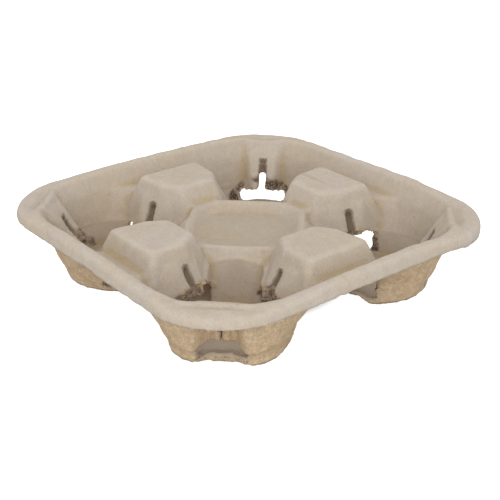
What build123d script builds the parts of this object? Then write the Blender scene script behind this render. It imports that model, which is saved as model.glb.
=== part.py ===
from build123d import *
from math import cos, radians, tan
import os

# A four-cup carrier tray of moulded pulp, one thin pressed skin.
# Millimetres, +Z up. The origin is the middle of the tray, at the level of the
# well floors that it stands on. The sides run along X and Y.

# Overall: the wells' spacing and the margin round them give the side
well_spacing = 105.0
side_margin = 55.0
tray_height = 44.6
wall = 2.2

# Rim: a crest with a skirt turned down outside it
corner_radius = 42.0
skirt_depth = 9.4
skirt_draft = 9.0
crest_width = 6.2
crest_corner_radius = 50.0
crest_bevel = 1.5
crown_radius = 1300.0

# Deck: the level of the middle platform and of the channels behind the posts
deck_height = 32.5
basin_draft = 24.5
platform_margin = 40.2
platform_draft = 21.0
dish_margin = 3.0
dish_depth = 5.0

# Posts between the wells. The outline of their flat tops is set back from the tray's
# side, and from the middles of the wells on both sides
post_height = 43.5
post_draft = 20.0
post_round = 3.0
post_bevel = 1.3
channel_width = 29.0
post_back_margin = 31.5
post_shoulder_margin = 33.5
post_shoulder_step = 4.5
post_front_margin = 40.5
post_front_step = 7.0

# Wells: a drafted cup, and a wider cone above that opens its corners
cup_floor_radius = 31.0
cup_draft = 16.5
mouth_radius = 46.6
mouth_draft = 35.0
mouth_foot = 14.0

# Flaps: the leaning faces that grip a cup, three to a well
flap_half_width = 9.2
flap_flare = 0.19
flap_top_depth = 3.8
flap_foot_depth = 20.0
corner_flap_reach = 34.6
corner_flap_lean = 38.0
corner_flap_flank = 35.0
corner_flap_top = 41.0
post_flap_reach = 29.9
post_flap_lean = 33.0
post_flap_flank = 60.0
post_flap_top = 35.0

# The groove up the middle of each flap, torn through into a slot in its lower part,
# and the torn-out opening under it
slot_width = 4.5
slot_under_deck = 1.0
groove_depth = 3.2
slot_share = 0.5
opening_sill = 1.6
corner_opening_width = 31.0
corner_opening_top = 15.5
corner_opening_spring = 9.5
post_opening_width = 38.0
post_opening_top = 22.0
post_opening_spring = 13.5

# Directions of the three flaps round the well at +X +Y
corner_direction = 45.0
flap_turn = 120.0

# Sizes that follow from those above
tray_side = well_spacing + 2 * side_margin
well_centre = (well_spacing / 2, well_spacing / 2)
platform_reach = well_spacing / 2**0.5 - platform_margin
dish_radius = platform_reach - dish_margin
post_back = (well_spacing / 2 - post_back_margin, tray_side / 2 - channel_width)
post_shoulder = (well_spacing / 2 - post_shoulder_margin, well_spacing / 2 + post_shoulder_step)
post_front = (well_spacing / 2 - post_front_margin, well_spacing / 2 - post_front_step)
below = 2.0
above = 8.0
skirt_height = tray_height - skirt_depth
skirt_half = tray_side / 2
crest_outer_half = skirt_half - skirt_depth * tan(radians(skirt_draft))
crest_inner_half = crest_outer_half - crest_width
crest_middle = crest_outer_half - crest_width / 2
crown_centre = tray_height - (crown_radius**2 - crest_middle**2) ** 0.5
dish_sphere = (dish_radius**2 + dish_depth**2) / (2 * dish_depth)
tool_reach = (10.0, 48.0)


def creep(skin, slope):
    # How far out the foot of a sloping wall moves when wall and floor both move by skin.
    return skin * ((1 + slope**2) ** 0.5 - slope)


def slant(angle):
    return tan(radians(angle))


def basin(skin):
    # Everything inside the rim's sloping inner wall, carried on down.
    drop = (tray_height + below) * slant(basin_draft)
    spread = skin / cos(radians(basin_draft))
    side = 2 * (crest_inner_half - drop + spread)
    with BuildPart() as shape:
        with BuildSketch(Plane.XY.offset(-below)):
            RectangleRounded(side, side, crest_corner_radius - drop + spread)
        extrude(amount=tray_height + above, taper=-basin_draft)
    return shape.part


def cone(skin, floor, floor_radius, draft):
    # A round cutter from a floor up to the deck, opening upwards.
    side = creep(skin, slant(draft))
    top_radius = floor_radius + (deck_height - floor) * slant(draft)
    with BuildPart() as shape:
        with BuildSketch(Plane.XZ):
            with BuildLine():
                Polyline(
                    (0, floor - skin),
                    (floor_radius + side, floor - skin),
                    (top_radius + side, deck_height - skin),
                    (0, deck_height - skin),
                    close=True,
                )
            make_face()
        revolve(axis=Axis.Z)
    return shape.part


def cup(skin):
    # The lower, round part of a well.
    return cone(skin, wall, cup_floor_radius, cup_draft)


def mouth(skin):
    # The wider cone that opens the corners of a well under the deck.
    foot_radius = mouth_radius - (deck_height - mouth_foot) * slant(mouth_draft)
    return cone(skin, mouth_foot, foot_radius, mouth_draft)


def cavity(skin):
    # All that is pressed down into the tray, inside the rim.
    one_mouth = mouth(skin)
    inside = basin(skin)
    with BuildPart() as shape:
        with BuildSketch(Plane.XY.offset(deck_height - skin)):
            Rectangle(tray_side, tray_side)
        extrude(amount=tray_height)
        with GridLocations(well_spacing, well_spacing, 2, 2):
            add(one_mouth)
        add(inside, mode=Mode.INTERSECT)
    return shape.part


def post(skin):
    # One post, the one at +Y. Its hollow is open below.
    foot = post_opening_spring - skin
    spread = (post_height - foot) * slant(post_draft) - skin / cos(radians(post_draft))
    with BuildPart() as shape:
        with BuildSketch(Plane.XY.offset(foot)):
            with BuildLine():
                Polyline(post_front, post_shoulder, post_back)
                mirror(about=Plane.YZ)
                Line(post_back, (-post_back[0], post_back[1]))
                Line(post_front, (-post_front[0], post_front[1]))
            make_face()
            offset(amount=spread, kind=Kind.INTERSECTION)
        extrude(amount=post_height - skin - foot, taper=post_draft)
        if skin == 0:
            fillet(shape.edges().filter_by(Plane.XY, reverse=True), post_round)
            chamfer(shape.faces().sort_by(Axis.Z)[-1].edges(), post_bevel)
    return shape.part


def flank_side(skin, reach, lean, flank, side):
    # The plane of one flank of a flap. The side is 1 or -1.
    edge = Vector(slant(lean), side * flap_flare, 1)
    run = Vector(1, side * slant(flank), 0)
    outward = edge.cross(run) * side
    return Plane((reach, side * flap_half_width, deck_height), z_dir=outward).offset(-skin)


def flap(skin, reach, lean, flank, top, foot):
    # One flap, leaning in over the well, as seen from the well's middle along +X.
    face_foot = reach + skin / cos(radians(lean)) + (foot - skin - deck_height) * slant(lean)
    face_top = face_foot + (top - foot) * slant(lean)
    with BuildPart() as shape:
        with BuildSketch(Plane.XZ):
            with BuildLine():
                Polyline(
                    (face_foot, foot - skin),
                    (face_foot + flap_foot_depth, foot - skin),
                    (face_top + flap_top_depth, top - skin),
                    (face_top, top - skin),
                    close=True,
                )
            make_face()
        extrude(amount=flap_foot_depth * 2, both=True)
        split(bisect_by=flank_side(skin, reach, lean, flank, 1), keep=Keep.BOTTOM)
        split(bisect_by=flank_side(skin, reach, lean, flank, -1), keep=Keep.BOTTOM)
    return shape.part


def groove(skin, reach, lean, foot):
    # The groove up the middle of a flap, as a cutter seen in the same way.
    slot_top = deck_height - slot_under_deck
    thickness = (groove_depth + skin) / cos(radians(lean))
    face_foot = reach + (foot - deck_height) * slant(lean)
    face_top = reach + (slot_top - deck_height) * slant(lean)
    with BuildPart() as shape:
        with BuildSketch(Plane.XZ):
            with BuildLine():
                Polyline(
                    (face_foot - groove_depth, foot - skin),
                    (face_foot + thickness, foot - skin),
                    (face_top + thickness, slot_top + skin),
                    (face_top - groove_depth, slot_top + skin),
                    close=True,
                )
            make_face()
        extrude(amount=slot_width / 2 + skin, both=True)
    return shape.part


def flap_places(first, count):
    # Places round the well at +X +Y, counted from the tray's outer corner.
    turns = [corner_direction + flap_turn * (first + k) for k in range(count)]
    return Locations([Location((*well_centre, 0), (0, 0, turn)) for turn in turns])


def form(skin):
    # The solid under the tray's face, sunk below it by skin everywhere.
    hollow = cavity(skin)
    one_post = post(skin)
    corner_sizes = (corner_flap_reach, corner_flap_lean, corner_flap_flank, corner_flap_top)
    post_sizes = (post_flap_reach, post_flap_lean, post_flap_flank, post_flap_top)
    corner_flap = flap(skin, *corner_sizes, corner_opening_spring)
    post_flap = flap(skin, *post_sizes, post_opening_spring)
    corner_groove = groove(skin, corner_flap_reach, corner_flap_lean, corner_opening_spring)
    post_groove = groove(skin, post_flap_reach, post_flap_lean, post_opening_spring)
    one_cup = cup(skin)
    with BuildPart() as flaps:
        with flap_places(0, 1):
            add(corner_flap)
        with flap_places(1, 2):
            add(post_flap)
    with BuildPart() as grooves:
        with flap_places(0, 1):
            add(corner_groove)
        with flap_places(1, 2):
            add(post_groove)
    rim_side = 2 * (skirt_half - skin / cos(radians(skirt_draft)))
    rim_round = corner_radius - skin
    with BuildPart() as shape:
        with BuildSketch(Plane.XY.offset(skirt_height)):
            RectangleRounded(rim_side, rim_side, rim_round)
        extrude(amount=skirt_depth + above, taper=skirt_draft)
        with BuildSketch(Plane.XY.offset(-below - skin)):
            RectangleRounded(tray_side + skin, tray_side + skin, corner_radius)
        extrude(amount=skirt_height + below + skin)
        add(hollow, mode=Mode.SUBTRACT)
        with Locations((0, 0, crown_centre)):
            Sphere(crown_radius - skin, rotation=(90, 0, 0), mode=Mode.INTERSECT)
        if skin == 0:
            chamfer(shape.faces().filter_by(GeomType.SPHERE).edges(), crest_bevel)
        with BuildSketch(Plane.XY.offset(-below)):
            side = 2 * (platform_reach + (deck_height + below) * slant(platform_draft))
            shrink = 2 * skin / cos(radians(platform_draft))
            Rectangle(side - shrink, side - shrink, rotation=45)
        extrude(amount=deck_height + below - skin, taper=platform_draft)
        with GridLocations(well_spacing, well_spacing, 2, 2):
            add(one_cup, mode=Mode.SUBTRACT)
        with Locations((0, 0, deck_height - dish_depth + dish_sphere)):
            Sphere(dish_sphere + skin, rotation=(90, 0, 0), mode=Mode.SUBTRACT)
        with PolarLocations(0, 4):
            add(one_post)
        with PolarLocations(0, 4):
            add(flaps.part)
        with PolarLocations(0, 4):
            add(grooves.part, mode=Mode.SUBTRACT)
    return shape.part


def opening(width, top, spring):
    # The slot and the arch under it, as one cutter that runs out along +X.
    sill = wall + opening_sill
    half = width / 2
    slot_top = top + (deck_height - slot_under_deck - top) * slot_share
    near, far = tool_reach
    with BuildPart() as shape:
        with BuildSketch(Plane.YZ.offset(near)):
            with BuildLine():
                Polyline((-half, spring), (-half, sill), (half, sill), (half, spring))
                ThreePointArc((half, spring), (0, top), (-half, spring))
            make_face()
            with Locations((0, (slot_top + spring) / 2)):
                Rectangle(slot_width, slot_top - spring)
        extrude(amount=far - near)
    return shape.part


face_side = form(0)
screen_side = form(wall)
corner_opening = opening(corner_opening_width, corner_opening_top, corner_opening_spring)
post_opening = opening(post_opening_width, post_opening_top, post_opening_spring)

with BuildPart() as openings:
    with flap_places(0, 1):
        add(corner_opening)
    with flap_places(1, 2):
        add(post_opening)

with BuildPart() as cup_tray:
    add(face_side)
    add(screen_side, mode=Mode.SUBTRACT)
    with PolarLocations(0, 4):
        add(openings.part, mode=Mode.SUBTRACT)

cup_tray.part.label = "cup_tray"
os.makedirs("parts", exist_ok=True)
export_step(cup_tray.part, "parts/cup_tray.step")
box = cup_tray.part.bounding_box()
print("solids", len(cup_tray.part.solids()), "volume", round(cup_tray.part.volume), "size", box.size)
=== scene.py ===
import math

import bpy
import numpy
from mathutils import Matrix, Vector, noise


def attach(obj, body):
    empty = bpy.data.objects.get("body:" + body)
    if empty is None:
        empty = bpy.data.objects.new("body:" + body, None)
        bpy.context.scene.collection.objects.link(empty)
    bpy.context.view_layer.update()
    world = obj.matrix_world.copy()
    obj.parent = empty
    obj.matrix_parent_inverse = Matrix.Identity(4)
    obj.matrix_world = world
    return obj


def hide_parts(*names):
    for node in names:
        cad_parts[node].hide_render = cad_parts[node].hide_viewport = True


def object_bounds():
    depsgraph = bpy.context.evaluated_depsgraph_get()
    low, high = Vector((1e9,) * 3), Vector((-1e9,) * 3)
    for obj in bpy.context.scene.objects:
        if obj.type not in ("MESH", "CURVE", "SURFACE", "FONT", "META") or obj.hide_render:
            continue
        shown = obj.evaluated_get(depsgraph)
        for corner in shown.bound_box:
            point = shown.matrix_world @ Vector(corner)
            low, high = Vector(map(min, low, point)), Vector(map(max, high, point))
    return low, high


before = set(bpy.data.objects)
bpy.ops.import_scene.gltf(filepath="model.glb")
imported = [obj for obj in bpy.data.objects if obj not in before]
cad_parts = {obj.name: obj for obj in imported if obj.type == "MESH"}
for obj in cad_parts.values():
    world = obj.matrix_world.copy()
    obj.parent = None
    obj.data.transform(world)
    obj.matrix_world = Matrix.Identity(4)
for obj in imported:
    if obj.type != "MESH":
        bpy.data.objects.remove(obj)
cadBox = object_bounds()
print("frame loaded")


# small helpers

def selectOnly(piece):
    bpy.ops.object.select_all(action="DESELECT")
    piece.select_set(True)
    bpy.context.view_layer.objects.active = piece


def applyModifier(piece, kind, settings):
    selectOnly(piece)
    modifier = piece.modifiers.new("step", kind)
    for name, value in settings.items():
        setattr(modifier, name, value)
    bpy.ops.object.modifier_apply(modifier=modifier.name)


def smoothStep(low, high, value):
    t = min(1.0, max(0.0, (value - low) / (high - low)))
    return t * t * (3 - 2 * t)


def fadeOut(low, high, value):
    return 1 - smoothStep(low, high, value)


# camera, where the photograph was taken from

cameraPlace = {
    "azimuth": 51.299,
    "elevation": 25.304,
    "distance": 0.572508,
    "target": (0.010405, -0.004751, 0.020),
    "roll": -0.222,
    "lens": 71.370,
    "sensor": 36.0,
    "clip": (0.01, 20),
}


def makeCamera(place):
    turn = math.radians(place["azimuth"])
    lift = math.radians(place["elevation"])
    back = Vector((math.sin(turn) * math.cos(lift), -math.cos(turn) * math.cos(lift), math.sin(lift)))
    data = bpy.data.cameras.new("photo_camera")
    data.lens = place["lens"]
    data.sensor_width = place["sensor"]
    data.clip_start, data.clip_end = place["clip"]
    camera = bpy.data.objects.new("photo_camera", data)
    bpy.context.scene.collection.objects.link(camera)
    right = (-back).cross(Vector((0, 0, 1))).normalized()
    up = right.cross(-back)
    roll = math.radians(place["roll"])
    right, up = (
        right * math.cos(roll) + up * math.sin(roll),
        up * math.cos(roll) - right * math.sin(roll),
    )
    turned = Matrix((right, up, back)).transposed()
    eye = Vector(place["target"]) + back * place["distance"]
    camera.matrix_world = Matrix.Translation(eye) @ turned.to_4x4()
    bpy.context.scene.camera = camera


makeCamera(cameraPlace)
print("camera placed")


# The tray's own skin: pressed pulp, soft at its creases and torn at its openings. The face side is
# above, and the screen side, below, has the coarser print of a wire screen. Wells are numbered 0 to 3,
# anticlockwise from the one at +X +Y, and well 3 is the front one.

traySkin = {
    "mergeWithin": 1e-6,
    "voxel": 0.00146,
    "smoothing": {"factor": 0.5, "iterations": 2},
    "waves": ((0.030, 0.00030), (0.009, 0.00016)),      # size and height of the unevenness
    "screenWaves": ((0.0042, 0.00022), (0.0021, 0.00016)),      # and what the screen side has besides
    "turnOver": (-0.08, 0.08),      # the slope from the screen side to the face side
    "bendRounds": 7,
    "bendSpread": 0.6,
    "fullBend": 0.000085,
    "crease": (0.0002, 0.0012),      # how far beside its line a raised crease fades
    "creaseLift": 0.00030,
}
waveSeed = Vector((3.1, 7.7, 1.3))
tornSeed = Vector((11.0, 2.0, 5.0))

# What is noted at each point of the tray's mesh, for its material
markNames = ("faceSide", "tornEdge", "slotGroove", "pressCrease", "skinBend", "panDip", "rustLine")

# Where the flaps are slotted and torn out, round the well at +X +Y
wellMiddle = 0.0525
frontWell = 3
toolReach = (0.010, 0.048)
slotHalf = 0.00225
grooveTop = 0.0327
grooveEdge = (-0.0003, 0.0006)
sillHeight = 0.0038
openings = (
    {"turn": 45.0, "half": 0.0155, "top": 0.0155, "spring": 0.0095},      # in the corner
    {"turn": 165.0, "half": 0.019, "top": 0.022, "spring": 0.0135},
    {"turn": 285.0, "half": 0.019, "top": 0.022, "spring": 0.0135},
)

tornPulp = {
    "cornerWidth": (0.0045, 0.0105),      # how far from a corner arch the torn pulp fades
    "postWidth": (0.0004, 0.0042),      # and from an arch in a post
    "screenWidth": (0.0006, 0.0036),      # and on the screen side
    "aboveFloor": (0.0026, 0.0042),
    "patchSize": 0.0085,
    "cornerPatches": (-0.40, 0.10),
    "postPatches": (-0.05, 0.35),
    "screenSplit": 0.0085,      # below this height more of the screen side is bare fibre
    "screenPatches": (0.75, 0.25),
    "webGap": -0.0008,
    "webPatch": 0.7,
    "grain": 0.0016,
    "bite": 0.0011,
    "leastBite": 0.35,
    "leastColour": 0.25,
    "noiseSeed": 5,
}

# What is left of the pulp across the slots in the posts' flaps: well, flap, half width, lower end
webs = (
    (0, 1, 0.0080, 0.0170),
    (0, 2, 0.0085, 0.0090),
    (1, 1, 0.0055, 0.0190),
    (1, 2, 0.0050, 0.0170),
    (2, 1, 0.0085, 0.0095),
    (2, 2, 0.0135, 0.0140),
    (3, 1, 0.0085, 0.0140),
    (3, 2, 0.0080, 0.0150),
)
webShape = {
    "top": 0.0275,
    "thickness": 0.0020,
    "depth": 0.0042,      # behind the flap's face
    "reach": 0.0299,      # out to the flap's face, at the platform's height
    "lean": 33.0,
}

# The rim: its outline, the ragged hem of its skirt, and the level shelf inside each corner
rimShape = {
    "half": 0.1075,
    "round": 0.0420,
    "skirt": (-0.0034, -0.0026),      # how far inside the outline the skirt's outer face begins
    "skirtLow": (0.0335, 0.0345),
    "hem": (0.0350, 0.0375),
    "ragged": 0.0007,
    "raggedSize": 0.0035,
    "waves": ((0.045, 0.0009), (0.012, 0.00035), (0.0050, 0.00030)),
    "waveLow": (0.034, 0.044),
    "waveInside": -0.014,
    "shelf": (0.0400, 0.0416, 0.0446, 0.0462, 0.0474, 0.0500),      # out from the well's middle
    "shelfLift": (0.0, 0.0015, 0.0013, -0.0021, -0.0024, 0.0),
    "shelfHalf": (0.0070, 0.0220),
    "shelfLow": 0.036,
}

# The skirt hangs lower at +X +Y, and its hem has a notch at -Y
hangs = {"well": 0, "drop": 0.0030, "across": (0.018, 0.045)}
notch = {"side": -0.09, "middle": 0.003, "half": 0.017, "flat": 0.3, "rise": 0.0012}

# The front corner's sill is raised and torn, with a band of bare fibre
sill = {
    "radius": 0.0250,
    "raise": 0.0026,
    "notch": 0.0016,
    "low": 0.006,
    "half": (0.0115, 0.0165),
    "bandLow": (0.0012, 0.0020),
    "bandHigh": (0.0058, 0.0070),
    "bandHalf": (0.014, 0.022),
    "bandTorn": 0.75,
}

# The skin round some arches hangs into them
archSkin = {
    "jamb": (0.0040, 0.0130),
    "skin": (0.0170, 0.0360),
    "jambTop": (0.40, 0.85),      # as shares of the arch's height
    "fade": 0.006,
    "above": 0.001,
    "closedHalf": 2.2,      # of the slot's half width
    "closedLow": (-0.004, -0.001),      # from the arch's top
    "closedHigh": (0.006, 0.008),
}
drawnArches = (      # well, flap, how far each jamb comes in, how far the top hangs down
    (3, 0, 0.0050, 0.0030),
    (0, 1, 0.0020, 0.0016),
    (1, 0, 0.0006, 0.0014),
    (2, 2, 0.0, 0.0020),
)

# The feet stand out a little at their corners, and the front one is drawn in at its arch
footShape = {
    "radius": (0.0160, 0.0310),
    "facing": (0.25, 0.75),      # 1 is straight out to the corner
    "spread": 0.0014,
    "spreadHigh": (0.024, 0.034),
    "sideLow": (0.007, 0.015),
    "frontLow": (-0.005, 0.003),
    "frontSpread": 1.6,
    "middle": (0.93, 0.98),
    "pull": 0.0024,
    "creaseRadius": 0.0351,      # a raised crease goes round the corner here
    "creaseHeight": 0.0160,
}

# The foot at +X +Y is torn up on its side toward the -Y flap
tornFoot = {
    "well": 0,
    "turn": 285.0,
    "facing": (0.86, 0.99),
    "radius": 0.0235,
    "width": 0.008,
    "top": 0.012,
    "raise": 0.0056,
}

# A brown line on the top of the +Y post
rustLine = {
    "x": (-0.0170, 0.0045),
    "y": 0.0597,
    "low": 0.036,
    "width": (0.0003, 0.0013),
    "grain": 0.004,
    "strength": 0.75,
    "unevenness": 0.6,
}

# The middle platform, pressed down inside a narrow raised edge
platformPan = {
    "deck": 0.0325,
    "heights": (0.020, 0.034),
    "wellSide": 0.0340,      # from the middle to the edge over a well
    "postSide": 0.0415,      # and to the foot of a post
    "edge": 0.0012,
    "depth": 0.0050,
    "run": 0.0070,
    "softness": 0.0036,
    "cadRadius": 0.0310,
    "cadDepth": 0.0050,
}

# A well's wall: a steep cup, and above its round crease a wider slope up to the platform
wellWall = {
    "floorRadius": 0.0310,
    "floor": 0.0022,
    "cadSlope": math.tan(math.radians(16.5)),
    "cupSlope": math.tan(math.radians(9.5)),
    "creaseSlope": 0.90,
    "least": 0.02,
    "top": 0.033,
    "outside": (0.004, 0.009),
    "facing": (0.2, 0.5),      # 1 is straight toward the platform
    "aboveFloor": (0.002, 0.009),
}


def quarterTurn(point):
    # The same point turned into the quarter of the tray at +X +Y, and the number of quarter turns
    quarter = math.floor((math.degrees(math.atan2(point.y, point.x)) % 360) / 90)
    return Matrix.Rotation(-quarter * math.pi / 2, 3, "Z") @ point, quarter


def outlineGap(across, height, cut):
    # How far a point lies from the edge of a slot's arch, seen square on
    arch = cut["top"] - (cut["top"] - cut["spring"]) * (across / cut["half"]) ** 2
    return max(abs(across) - cut["half"], height - arch, sillHeight - height)


def flapPlace(local, cut):
    # How far out from the well's middle a point lies toward a flap, and how far across it
    turn = math.radians(cut["turn"])
    x, y = local.x - wellMiddle, local.y - wellMiddle
    return x * math.cos(turn) + y * math.sin(turn), y * math.cos(turn) - x * math.sin(turn)


def tornNear(local):
    # The gap to the nearest torn arch, how near one is from 0 to 1, and how much is in a slot's groove
    nearest = 1.0
    torn = 0.0
    groove = 0.0
    for cut in openings:
        along, across = flapPlace(local, cut)
        if toolReach[0] < along < toolReach[1]:
            gap = outlineGap(across, local.z, cut)
            nearest = min(nearest, gap)
            width = tornPulp["cornerWidth" if cut is openings[0] else "postWidth"]
            torn = max(torn, fadeOut(*width, gap) * smoothStep(*tornPulp["aboveFloor"], local.z))
            if cut["spring"] < local.z < grooveTop:
                inner, outer = slotHalf + grooveEdge[0], slotHalf + grooveEdge[1]
                groove = max(groove, fadeOut(inner, outer, abs(across)))
    return nearest, torn, groove


def tornShares(point, local, well, side):
    # How torn the pulp is, how much of that is bare fibre, and how much is in a slot's groove
    gap, torn, groove = tornNear(local)
    outward = local.x + local.y - 2 * wellMiddle
    patches = tornPulp["cornerPatches" if outward > 0 else "postPatches"]
    patch = smoothStep(*patches, noise.noise(point / tornPulp["patchSize"] + tornSeed))
    if side < 0.5:
        low, high = tornPulp["screenPatches"]
        patch = high if local.z > tornPulp["screenSplit"] else low
        torn *= fadeOut(*tornPulp["screenWidth"], gap)
        if well == frontWell and outward > sill["radius"]:
            band = smoothStep(*sill["bandLow"], local.z) * fadeOut(*sill["bandHigh"], local.z)
            band *= fadeOut(*sill["bandHalf"], abs(local.x - local.y) / math.sqrt(2))
            torn = max(torn, sill["bandTorn"] * band)
            patch = max(patch, band)
    elif gap < tornPulp["webGap"]:
        patch = tornPulp["webPatch"]
    return torn, patch, groove


def pulpWave(point, sizes, seed):
    return sum(height * noise.noise(point / size + seed) for size, height in sizes)


def panDrop(point):
    # How much lower the pressed platform lies than the solid's round dish, and how far inside it a
    # point is, from 0 to 1
    pan = platformPan
    u = abs(point.x + point.y) / math.sqrt(2)
    v = abs(point.x - point.y) / math.sqrt(2)
    wellSide, postSide = pan["wellSide"], pan["postSide"]
    gaps = (wellSide - u, wellSide - v, postSide - abs(point.x), postSide - abs(point.y))
    if min(gaps) < 0 or point.z < pan["heights"][0] or point.z > pan["heights"][1]:
        return 0.0, 0.0
    soft = pan["softness"]
    inward = -soft * math.log(sum(math.exp(-gap / soft) for gap in gaps)) - pan["edge"]
    radius = math.hypot(point.x, point.y)
    plain = pan["cadDepth"] * max(0.0, 1 - (radius / pan["cadRadius"]) ** 2)
    inside = smoothStep(0.0, pan["run"], inward)
    return pan["depth"] * inside - plain, inside


def wallPush(local):
    # How far a well's wall stands in over the well beside the platform, and how much of a crease it has
    wall = wellWall
    out = Vector((local.x - wellMiddle, local.y - wellMiddle, 0))
    radius = out.length
    plain = wall["floorRadius"] + (local.z - wall["floor"]) * wall["cadSlope"]
    if radius < wall["least"] or local.z > wall["top"] or radius > plain + wall["outside"][1]:
        return Vector((0, 0, 0)), 0.0
    facing = -(out.x + out.y) / (radius * math.sqrt(2))
    if facing < wall["facing"][0]:
        return Vector((0, 0, 0)), 0.0
    cup = wall["floorRadius"] + (local.z - wall["floor"]) * wall["cupSlope"]
    edge = wellMiddle * math.sqrt(2) - platformPan["wellSide"]
    slope = edge - (platformPan["deck"] - local.z) / wall["creaseSlope"]
    target = min(plain, max(cup, slope / facing))
    share = fadeOut(*wall["outside"], radius - plain)
    share *= smoothStep(*wall["facing"], facing) * smoothStep(*wall["aboveFloor"], local.z)
    crease = fadeOut(*traySkin["crease"], abs(cup - slope / facing))
    return out * ((target - plain) * share / radius), crease * share if target < plain else 0.0


def rimGap(point):
    # How far a point lies outside the rim's outline
    across = [abs(value) - rimShape["half"] + rimShape["round"] for value in (point.x, point.y)]
    return math.hypot(max(across[0], 0), max(across[1], 0)) + min(max(across), 0) - rimShape["round"]


def footPush(local, well):
    # How far the foot of a well is moved out, or in at the front corner
    out = Vector((local.x - wellMiddle, local.y - wellMiddle, 0))
    radius = out.length
    if radius < footShape["radius"][0] or local.z > footShape["spreadHigh"][1]:
        return Vector((0, 0, 0))
    facing = (out.x + out.y) / (radius * math.sqrt(2))
    spread = footShape["spread"] * smoothStep(*footShape["facing"], facing)
    spread *= fadeOut(*footShape["spreadHigh"], local.z)
    if well == frontWell:
        middle = smoothStep(*footShape["middle"], facing)
        spread *= (1 - middle) * footShape["frontSpread"] * smoothStep(*footShape["frontLow"], local.z)
        spread -= footShape["pull"] * middle * max(0.0, 1 - local.z / footShape["creaseHeight"])
    else:
        spread *= smoothStep(*footShape["sideLow"], local.z)
    return out * (spread * smoothStep(*footShape["radius"], radius) / radius)


def archPush(local, well):
    # Draws the skin round some torn arches together, as the pulp hangs into them
    push = Vector((0, 0, 0))
    skin = archSkin
    for place, flap, narrow, sink in drawnArches:
        cut = openings[flap]
        top = cut["top"]
        along, across = flapPlace(local, cut)
        if place == well and toolReach[0] < along < toolReach[1]:
            beside = smoothStep(*skin["jamb"], abs(across)) * fadeOut(*skin["skin"], abs(across))
            beside *= smoothStep(0.0, sillHeight, local.z)
            beside *= fadeOut(skin["jambTop"][0] * top, skin["jambTop"][1] * top, local.z)
            narrow *= beside
            if flap == 0 and well == frontWell:      # the slot over the front arch is closed
                closed = fadeOut(slotHalf, skin["closedHalf"] * slotHalf, abs(across))
                closed *= smoothStep(top + skin["closedLow"][0], top + skin["closedLow"][1], local.z)
                closed *= fadeOut(top + skin["closedHigh"][0], top + skin["closedHigh"][1], local.z)
                narrow += slotHalf * closed
            turn = math.radians(cut["turn"])
            push += Vector((math.sin(turn), -math.cos(turn), 0)) * math.copysign(narrow, across)
            over = smoothStep(top - skin["fade"], top - skin["fade"] / 3, local.z)
            over *= fadeOut(top + skin["above"], top + 2 * skin["fade"], local.z)
            push.z -= sink * over * fadeOut(*skin["skin"], abs(across))
    return push


def shelfLift(height, along, across):
    # The level shelf inside each corner of the rim
    places = rimShape["shelf"]
    lifts = rimShape["shelfLift"]
    lift = 0.0
    if height > rimShape["shelfLow"]:
        for k in range(len(places) - 1):
            if places[k] <= along < places[k + 1]:
                part = smoothStep(places[k], places[k + 1], along)
                lift = lifts[k] * (1 - part) + lifts[k + 1] * part
    return lift * fadeOut(*rimShape["shelfHalf"], across)


def sillLift(height, along, across):
    # The raised sill of the front corner's arch
    if height < sill["low"] and along > 0 and math.hypot(along, across) > sill["radius"]:
        raised = sill["raise"] * min(1.0, height / sillHeight)
        return fadeOut(*sill["half"], across) * (raised + sill["notch"])
    return 0.0


def tornFootLift(local):
    # The lower edge of the foot at +X +Y, where it is torn up
    x, y = local.x - wellMiddle, local.y - wellMiddle
    radius = math.hypot(x, y)
    if local.z < tornFoot["top"] and radius > tornFoot["radius"]:
        turn = math.radians(tornFoot["turn"])
        facing = (x * math.cos(turn) + y * math.sin(turn)) / radius
        share = smoothStep(*tornFoot["facing"], facing)
        share *= smoothStep(0.0, tornFoot["width"], radius - tornFoot["radius"])
        return tornFoot["raise"] * share * (1 - local.z / tornFoot["top"])
    return 0.0


def cornerLift(local, well):
    # The shelves of all four corners, with what two of the feet have besides
    along = (local.x + local.y) / math.sqrt(2) - wellMiddle * math.sqrt(2)
    across = abs(local.x - local.y) / math.sqrt(2)
    lift = shelfLift(local.z, along, across)
    if well == frontWell:
        lift += sillLift(local.z, along, across)
    if well == tornFoot["well"]:
        lift += tornFootLift(local)
    return lift


def hemDrop(point, local, well, hem):
    # How much the skirt's lower edge hangs down, or is torn up, and how torn it is
    torn = 0.0
    if point.y < notch["side"]:
        torn = fadeOut(notch["flat"], 1.0, abs(point.x - notch["middle"]) / notch["half"])
    rough = 1 + noise.noise(point / rimShape["raggedSize"])
    drop = -hem * (rimShape["ragged"] + torn * notch["rise"]) * rough
    if well == hangs["well"]:
        drop += hem * hangs["drop"] * fadeOut(*hangs["across"], abs(local.x - local.y) / math.sqrt(2))
    return drop, torn * hem


def rustShare(point):
    # How much a point is in the brown line on the top of the +Y post
    if point.z < rustLine["low"]:
        return 0.0
    start, end = rustLine["x"]
    gap = math.hypot(point.x - min(end, max(start, point.x)), point.y - rustLine["y"])
    uneven = rustLine["strength"] + rustLine["unevenness"] * noise.noise(point / rustLine["grain"])
    return fadeOut(*rustLine["width"], gap) * uneven


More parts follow.
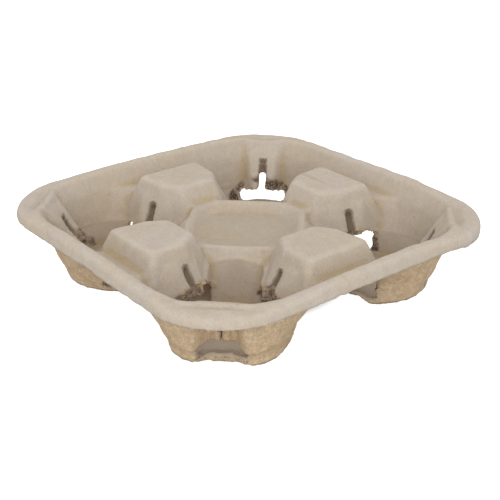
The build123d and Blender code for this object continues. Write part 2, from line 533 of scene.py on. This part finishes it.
def bentness(mesh, normals):
    # How hollow (above 0) or how ridged (below 0) the skin is at each point, from -1 to 1
    count = len(mesh.vertices)
    places = numpy.empty(count * 3)
    mesh.vertices.foreach_get("co", places)
    ends = numpy.empty(len(mesh.edges) * 2, dtype=numpy.int64)
    mesh.edges.foreach_get("vertices", ends)
    first, second = ends[0::2], ends[1::2]
    degree = numpy.bincount(ends, minlength=count).clip(1)

    def around(values):
        total = numpy.bincount(first, values[second], count)
        return (total + numpy.bincount(second, values[first], count)) / degree

    bend = numpy.zeros(count)
    for axis in range(3):
        values = places[axis::3]
        bend += (around(values) - values) * numpy.array([normal[axis] for normal in normals])
    for _ in range(traySkin["bendRounds"]):
        bend = (1 - traySkin["bendSpread"]) * bend + traySkin["bendSpread"] * around(bend)
    return numpy.clip(bend / traySkin["fullBend"], -1.0, 1.0)


def addWebs():
    # Thin plates behind the flaps' slots, which the remeshing joins to the tray
    made = []
    shape = webShape
    lean = math.radians(shape["lean"])
    for well, flap, half, low in webs:
        turn = math.radians(openings[flap]["turn"] + 90 * well)
        middle = (shape["top"] + low) / 2
        out = shape["reach"] + (middle - platformPan["deck"]) * math.tan(lean)
        out += shape["depth"] / math.cos(lean)
        centre = Matrix.Rotation(math.radians(90 * well), 3, "Z") @ Vector((wellMiddle, wellMiddle, 0))
        place = centre + Vector((out * math.cos(turn), out * math.sin(turn), middle))
        bpy.ops.mesh.primitive_cube_add(size=1, location=place, rotation=(0, lean, turn))
        web = bpy.context.object
        web.scale = (shape["thickness"], 2 * half, (shape["top"] - low) / math.cos(lean))
        bpy.ops.object.transform_apply(location=True, rotation=True, scale=True)
        made.append(web)
    return made


def makeTray():
    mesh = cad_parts["cup_tray"].data.copy()
    tray = bpy.data.objects.new("pulp_tray", mesh)
    bpy.context.scene.collection.objects.link(tray)
    mesh.materials.clear()
    selectOnly(tray)
    bpy.ops.object.mode_set(mode="EDIT")
    bpy.ops.mesh.select_all(action="SELECT")
    bpy.ops.mesh.remove_doubles(threshold=traySkin["mergeWithin"])
    bpy.ops.object.mode_set(mode="OBJECT")
    parts = addWebs()
    selectOnly(tray)
    for web in parts:
        web.select_set(True)
    bpy.ops.object.join()
    applyModifier(tray, "REMESH", {"mode": "VOXEL", "voxel_size": traySkin["voxel"], "adaptivity": 0.0})
    applyModifier(tray, "SMOOTH", traySkin["smoothing"])
    print("tray skin meshed", len(tray.data.vertices), len(tray.data.polygons))
    roughen(tray.data)
    selectOnly(tray)
    bpy.ops.object.shade_smooth()
    return tray


def roughen(mesh):
    # Moves every point a little, and notes which side of the pulp it is on and how it is marked
    places = [vertex.co.copy() for vertex in mesh.vertices]
    normals = [vertex.normal.copy() for vertex in mesh.vertices]
    noise.seed_set(tornPulp["noiseSeed"])      # without it noise_vector differs from run to run
    marks = []
    low, high = cadBox
    for point, normal, bend in zip(places, normals, bentness(mesh, normals)):
        side = smoothStep(*traySkin["turnOver"], normal.z)
        local, quarter = quarterTurn(point)
        well = quarter % 4
        torn, patch, groove = tornShares(point, local, well, side)
        wall, crease = wallPush(local)
        if side > 0.5 and local.x + local.y > 2 * wellMiddle:
            away = math.hypot(local.x - wellMiddle, local.y - wellMiddle) - footShape["creaseRadius"]
            away = math.hypot(away, local.z - footShape["creaseHeight"])
            crease = max(crease, fadeOut(*traySkin["crease"], away))
        outside = rimGap(point)
        edge = smoothStep(*rimShape["skirt"], outside) * smoothStep(*rimShape["skirtLow"], point.z)
        lift = pulpWave(point, traySkin["waves"], waveSeed) + crease * traySkin["creaseLift"]
        lift += (1 - side) * pulpWave(point, traySkin["screenWaves"], tornSeed)
        rise = 0.0
        if outside > rimShape["waveInside"]:
            rise = pulpWave(point, rimShape["waves"], waveSeed)
            rise *= smoothStep(*rimShape["waveLow"], point.z)
        drop, dip = panDrop(point)
        drop -= cornerLift(local, well)
        if edge > 0 and point.z < rimShape["hem"][1]:
            hem = edge * fadeOut(*rimShape["hem"], point.z)
            hang, tornHem = hemDrop(point, local, well, hem)
            drop += hang
            torn = max(torn, tornHem)
        push = wall + footPush(local, well) + archPush(local, well)
        push = Matrix.Rotation(quarter * math.pi / 2, 3, "Z") @ push
        if torn > 0:
            grain = noise.noise_vector(point / tornPulp["grain"] + tornSeed)
            bite = tornPulp["leastBite"] + (1 - tornPulp["leastBite"]) * patch
            push += grain * tornPulp["bite"] * torn * bite
        point += normal * lift + push
        point.z += rise - drop
        for axis in range(3):
            point[axis] = min(high[axis], max(low[axis], point[axis]))
        torn *= tornPulp["leastColour"] + (1 - tornPulp["leastColour"]) * patch
        marks.append((max(side, edge), torn, groove, crease, bend, dip, rustShare(point)))
    mesh.vertices.foreach_set("co", [value for point in places for value in point])
    for name, values in zip(markNames, zip(*marks)):
        mesh.attributes.new(name, "FLOAT", "POINT").data.foreach_set("value", values)
    mesh.update()


# shader maths, written as sums

class Wire:
    def __init__(self, tree, socket=None):
        self.tree = tree
        self.socket = socket

    def make(self, kind, settings=None, sockets=None, output=0):
        node = self.tree.nodes.new(kind)
        for name, value in (settings or {}).items():
            setattr(node, name, value)
        for name, value in (sockets or {}).items():
            if isinstance(value, Wire):
                self.tree.links.new(value.socket, node.inputs[name])
            else:
                node.inputs[name].default_value = value
        return Wire(self.tree, node.outputs[output]) if node.outputs else None

    def maths(self, operation, first, second):
        return self.make("ShaderNodeMath", {"operation": operation}, {0: first, 1: second})

    def __add__(self, other):
        return self.maths("ADD", self, other)

    __radd__ = __add__

    def __sub__(self, other):
        return self.maths("SUBTRACT", self, other)

    def __rsub__(self, other):
        return self.maths("SUBTRACT", other, self)

    def __mul__(self, other):
        return self.maths("MULTIPLY", self, other)

    __rmul__ = __mul__

    def between(self, low, high):
        return self.make(
            "ShaderNodeMapRange",
            {"interpolation_type": "SMOOTHSTEP"},
            {"Value": self, "From Min": low, "From Max": high, "To Min": 0.0, "To Max": 1.0},
        )

    def mix(self, factor, first, second, blend="MIX"):
        # Sockets 6 and 7 and output 2 are the ones for colours
        return self.make(
            "ShaderNodeMix",
            {"data_type": "RGBA", "blend_type": blend},
            {"Factor": factor, 6: first, 7: second},
            output=2,
        )

    def grain(self, place, size, detail, roughness=0.5):
        return self.make(
            "ShaderNodeTexNoise",
            {"noise_dimensions": "3D"},
            {"Vector": place, "Scale": 1 / size, "Detail": detail, "Roughness": roughness},
        )

    def cells(self, place, size, feature):
        return self.make(
            "ShaderNodeTexVoronoi",
            {"feature": feature},
            {"Vector": place, "Scale": 1 / size},
        )


def newMaterial(name):
    material = bpy.data.materials.new(name)
    material.use_nodes = True
    material.node_tree.nodes.clear()
    return material, Wire(material.node_tree)


# The pulp: brushed grey-brown on the face, browner and coarser where the wire screen was

# Painted shade darkens the wells low down, the pan, the skin's hollows, the slots' grooves and the
# foot's bottom edge, and partly the torn fibre; painted highlights lighten the ridges and the raised
# creases
pulpFinish = {
    "faceWarm": (0.560, 0.475, 0.376, 1),
    "faceGrey": (0.566, 0.492, 0.415, 1),
    "cloudSize": 0.028,
    "cloudRange": (0.35, 0.65),
    "wellShade": (0.84, 0.80, 0.755, 1),      # painted shade: multiplies the face's colour low down in the wells
    "wellShadeHeights": (0.004, 0.042),
    # painted shade inside the platform's pressed pan
    "panShade": (0.93, 0.92, 0.89, 1),
    # painted shade in the skin's hollows, painted highlight on its ridges
    "hollowShade": (0.88, 0.82, 0.67, 1),
    "hollowShadeRange": (0.12, 1.0),
    "ridgeHighlight": (1.03, 1.04, 1.06, 1),
    "ridgeHighlightRange": (0.15, 1.0),
    # painted highlight along the raised creases
    "creaseHighlight": (1.10, 1.10, 1.08, 1),
    "creaseHighlightShare": 0.8,
    "screen": (0.690, 0.530, 0.360, 1),
    "screenDark": (0.595, 0.445, 0.285, 1),
    "screenRange": (0.40, 0.62),
    "screenMottle": 0.6,
    "screenPitch": 0.0016,
    # painted contact shadow along the foot's bottom edge
    "footContactShadow": (0.200, 0.130, 0.085, 1),
    "footShadowHeights": (0.0003, 0.0020),
    "footShadowShare": 0.6,
    "speck": (0.150, 0.110, 0.080, 1),
    "speckCell": 0.011,
    "speckRange": (0.000225, 0.00045),
    "speckShare": 0.7,
    "rust": (0.470, 0.305, 0.175, 1),
    "rustShare": 0.8,
    # painted shade inside the slots' grooves
    "groove": (0.180, 0.132, 0.095, 1),
    "grooveShare": 0.85,
    # dark brown of bare torn fibre, partly painted shade in the torn openings
    "torn": (0.105, 0.068, 0.044, 1),
    "tornPale": (0.360, 0.285, 0.215, 1),
    "sillPale": (0.620, 0.530, 0.430, 1),      # pale fibres on the screen side
    "fibreRange": (0.42, 0.58),
    "tornRange": (0.40, 0.85),
    "tornGrain": 0.7,
    "mottleSize": 0.0045,
    "grainSize": 0.0011,
    "noiseRoughness": 0.6,
    "shadeMottle": 0.26,
    "shadeGrain": 0.36,
    "shadeWeave": 0.30,
    "weaveMiddle": 0.45,
    "reliefGrain": (0.35, 0.5),      # on both sides, and more of it on the screen side
    "reliefMottle": 0.5,
    "reliefWeave": 0.6,
    "reliefTorn": 0.8,
    "bumpStrength": 0.75,
    "bumpDistance": 0.0006,
    "roughness": 0.92,
    "specular": 0.15,
}


def makePulp(finish):
    material, w = newMaterial("moulded_pulp")
    place = w.make("ShaderNodeTexCoord", output="Object")
    side, torn, groove, crease, bend, dip, rust = [
        w.make("ShaderNodeAttribute", {"attribute_name": name}, output="Fac") for name in markNames
    ]
    height = w.make("ShaderNodeSeparateXYZ", {}, {0: place}, output="Z")
    clouds = w.grain(place, finish["cloudSize"], 3.0).between(*finish["cloudRange"])
    mottle = w.grain(place, finish["mottleSize"], 4.0, finish["noiseRoughness"])
    grain = w.grain(place, finish["grainSize"], 3.0, finish["noiseRoughness"])
    weave = w.cells(place, finish["screenPitch"], "SMOOTH_F1")

    face = w.mix(clouds, finish["faceWarm"], finish["faceGrey"])
    # painted shade: the face is darker and warmer low down in the wells
    face = w.mix(1 - height.between(*finish["wellShadeHeights"]), face, finish["wellShade"], "MULTIPLY")
    # painted shade: darker inside the platform's pressed pan
    face = w.mix(dip, face, finish["panShade"], "MULTIPLY")
    # painted shade in the skin's hollows and painted highlight on its ridges, from how bent the skin is
    face = w.mix(bend.between(*finish["hollowShadeRange"]), face, finish["hollowShade"], "MULTIPLY")
    face = w.mix((bend * -1).between(*finish["ridgeHighlightRange"]), face, finish["ridgeHighlight"], "MULTIPLY")

    blotch = mottle * finish["screenMottle"] + grain * (1 - finish["screenMottle"])
    screen = w.mix(blotch.between(*finish["screenRange"]), finish["screenDark"], finish["screen"])
    # painted contact shadow: the screen side turns dark brown along the foot's bottom edge
    foot = (1 - height.between(*finish["footShadowHeights"])) * finish["footShadowShare"]
    colour = w.mix(side, w.mix(foot, screen, finish["footContactShadow"]), face)

    spots = w.cells(place, finish["speckCell"], "F1") * finish["speckCell"]
    speck = (1 - spots.between(*finish["speckRange"])) * finish["speckShare"]
    colour = w.mix(speck, colour, finish["speck"])
    # painted highlight: the raised creases are lighter
    colour = w.mix(crease * finish["creaseHighlightShare"], colour, finish["creaseHighlight"], "MULTIPLY")
    colour = w.mix(rust * finish["rustShare"], colour, finish["rust"])
    # painted shade: dark brown-grey inside the slots' grooves
    colour = w.mix(groove * finish["grooveShare"], colour, finish["groove"])

    # torn pulp: mottled bare fibre, its dark brown partly painted shade
    fibres = (mottle * 0.5 + grain * 0.5).between(*finish["fibreRange"])
    fibreShadeColour = w.mix(fibres, finish["torn"], w.mix(side, finish["sillPale"], finish["tornPale"]))
    tornShare = (torn + (grain - 0.5) * finish["tornGrain"]).between(*finish["tornRange"])
    colour = w.mix(tornShare, colour, fibreShadeColour)

    shade = (mottle - 0.5) * finish["shadeMottle"] + (grain - 0.5) * finish["shadeGrain"]
    shade = shade + (finish["weaveMiddle"] - weave) * (1 - side) * finish["shadeWeave"] + 1
    shadeColour = w.make("ShaderNodeCombineColor", {}, {0: shade, 1: shade, 2: shade})
    colour = w.mix(1.0, colour, shadeColour, "MULTIPLY")

    everywhere, onScreen = finish["reliefGrain"]
    relief = grain * (everywhere + onScreen * (1 - side)) + mottle * finish["reliefMottle"]
    relief = relief + weave * (1 - side) * finish["reliefWeave"] + torn * grain * finish["reliefTorn"]
    strength, distance = finish["bumpStrength"], finish["bumpDistance"]
    bump = w.make("ShaderNodeBump", {}, {"Strength": strength, "Distance": distance, "Height": relief})
    sockets = {"Base Color": colour, "Roughness": finish["roughness"], "Normal": bump}
    sockets["Specular IOR Level"] = finish["specular"]
    body = w.make("ShaderNodeBsdfPrincipled", {}, sockets)
    w.make("ShaderNodeOutputMaterial", {}, {"Surface": body})
    return material


tray = makeTray()
tray.data.materials.append(makePulp(pulpFinish))
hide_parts("cup_tray")
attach(tray, "root")
print("tray finished")


# floor, light and background

stageSettings = {
    "floorSize": 6.0,
    "floorDrop": 0.0002,
    "floorGlow": 0.92,
    "floorGrey": (0.60, 0.60, 0.59, 1),
    "floorShadow": (0.035, 0.010, 0.002, 1),      # painted shadow: the floor's dark brown glow under the tray, seen through the openings
    "underTray": (0.051, 0.064),      # from the floor's painted shadow under the tray out to its full glow
    "white": (1, 1, 1, 1),
    "worldLight": 0.80,
    "keyPower": 12.0,
    "keySize": 1.5,
    "keyPlace": (1.24, -0.99, 0.85),
    "keyTarget": (0.0, 0.0, 0.02),
}


def seenDirectly(w):
    # 1 where it is seen straight, in a reflection or through glass, and 0 where it gives light
    rays = w.make("ShaderNodeLightPath").socket.node.outputs
    camera = Wire(w.tree, rays["Is Camera Ray"])
    glossy = Wire(w.tree, rays["Is Glossy Ray"])
    through = Wire(w.tree, rays["Is Transmission Ray"])
    return w.maths("MINIMUM", camera + glossy + through, 1.0)


def makeFloor(settings):
    bpy.ops.object.select_all(action="DESELECT")
    bpy.ops.mesh.primitive_plane_add(size=settings["floorSize"], location=(0, 0, -settings["floorDrop"]))
    floor = bpy.context.object
    floor.name = "floor"
    material, w = newMaterial("white_floor")
    matt = w.make("ShaderNodeBsdfDiffuse", {}, {"Color": settings["floorGrey"]})
    place = w.make("ShaderNodeTexCoord", output="Object")
    far = w.make("ShaderNodeVectorMath", {"operation": "LENGTH"}, {0: place}, output="Value")
    # painted shadow: under the tray the floor's glow turns dark brown
    glowWithShadow = w.mix(far.between(*settings["underTray"]), settings["floorShadow"], settings["white"])
    glow = w.make("ShaderNodeEmission", {}, {"Color": glowWithShadow, "Strength": settings["floorGlow"]})
    both = w.make("ShaderNodeAddShader", {}, {0: matt, 1: glow})
    floorMix = w.make("ShaderNodeMixShader", {}, {0: seenDirectly(w), 1: matt, 2: both})
    w.make("ShaderNodeOutputMaterial", {}, {"Surface": floorMix})
    floor.data.materials.append(material)


def makeLamp(settings):
    data = bpy.data.lights.new("key_lamp", "AREA")
    data.size = settings["keySize"]
    data.energy = settings["keyPower"]
    lamp = bpy.data.objects.new("key_lamp", data)
    bpy.context.scene.collection.objects.link(lamp)
    lamp.location = settings["keyPlace"]
    aim = Vector(settings["keyTarget"]) - Vector(settings["keyPlace"])
    lamp.rotation_euler = aim.to_track_quat("-Z", "Y").to_euler()


def makeWorld(settings):
    world = bpy.data.worlds.new("soft_studio")
    bpy.context.scene.world = world
    world.use_nodes = True
    world.node_tree.nodes.clear()
    w = Wire(world.node_tree)
    white = settings["white"]
    light = w.make("ShaderNodeBackground", {}, {"Color": white, "Strength": settings["worldLight"]})
    seen = w.make("ShaderNodeBackground", {}, {"Color": white, "Strength": 1.0})
    both = w.make("ShaderNodeMixShader", {}, {0: seenDirectly(w), 1: light, 2: seen})
    w.make("ShaderNodeOutputWorld", {}, {"Surface": both})


makeFloor(stageSettings)
makeLamp(stageSettings)
makeWorld(stageSettings)
bpy.context.scene.view_settings.view_transform = "Standard"
print("stage ready")
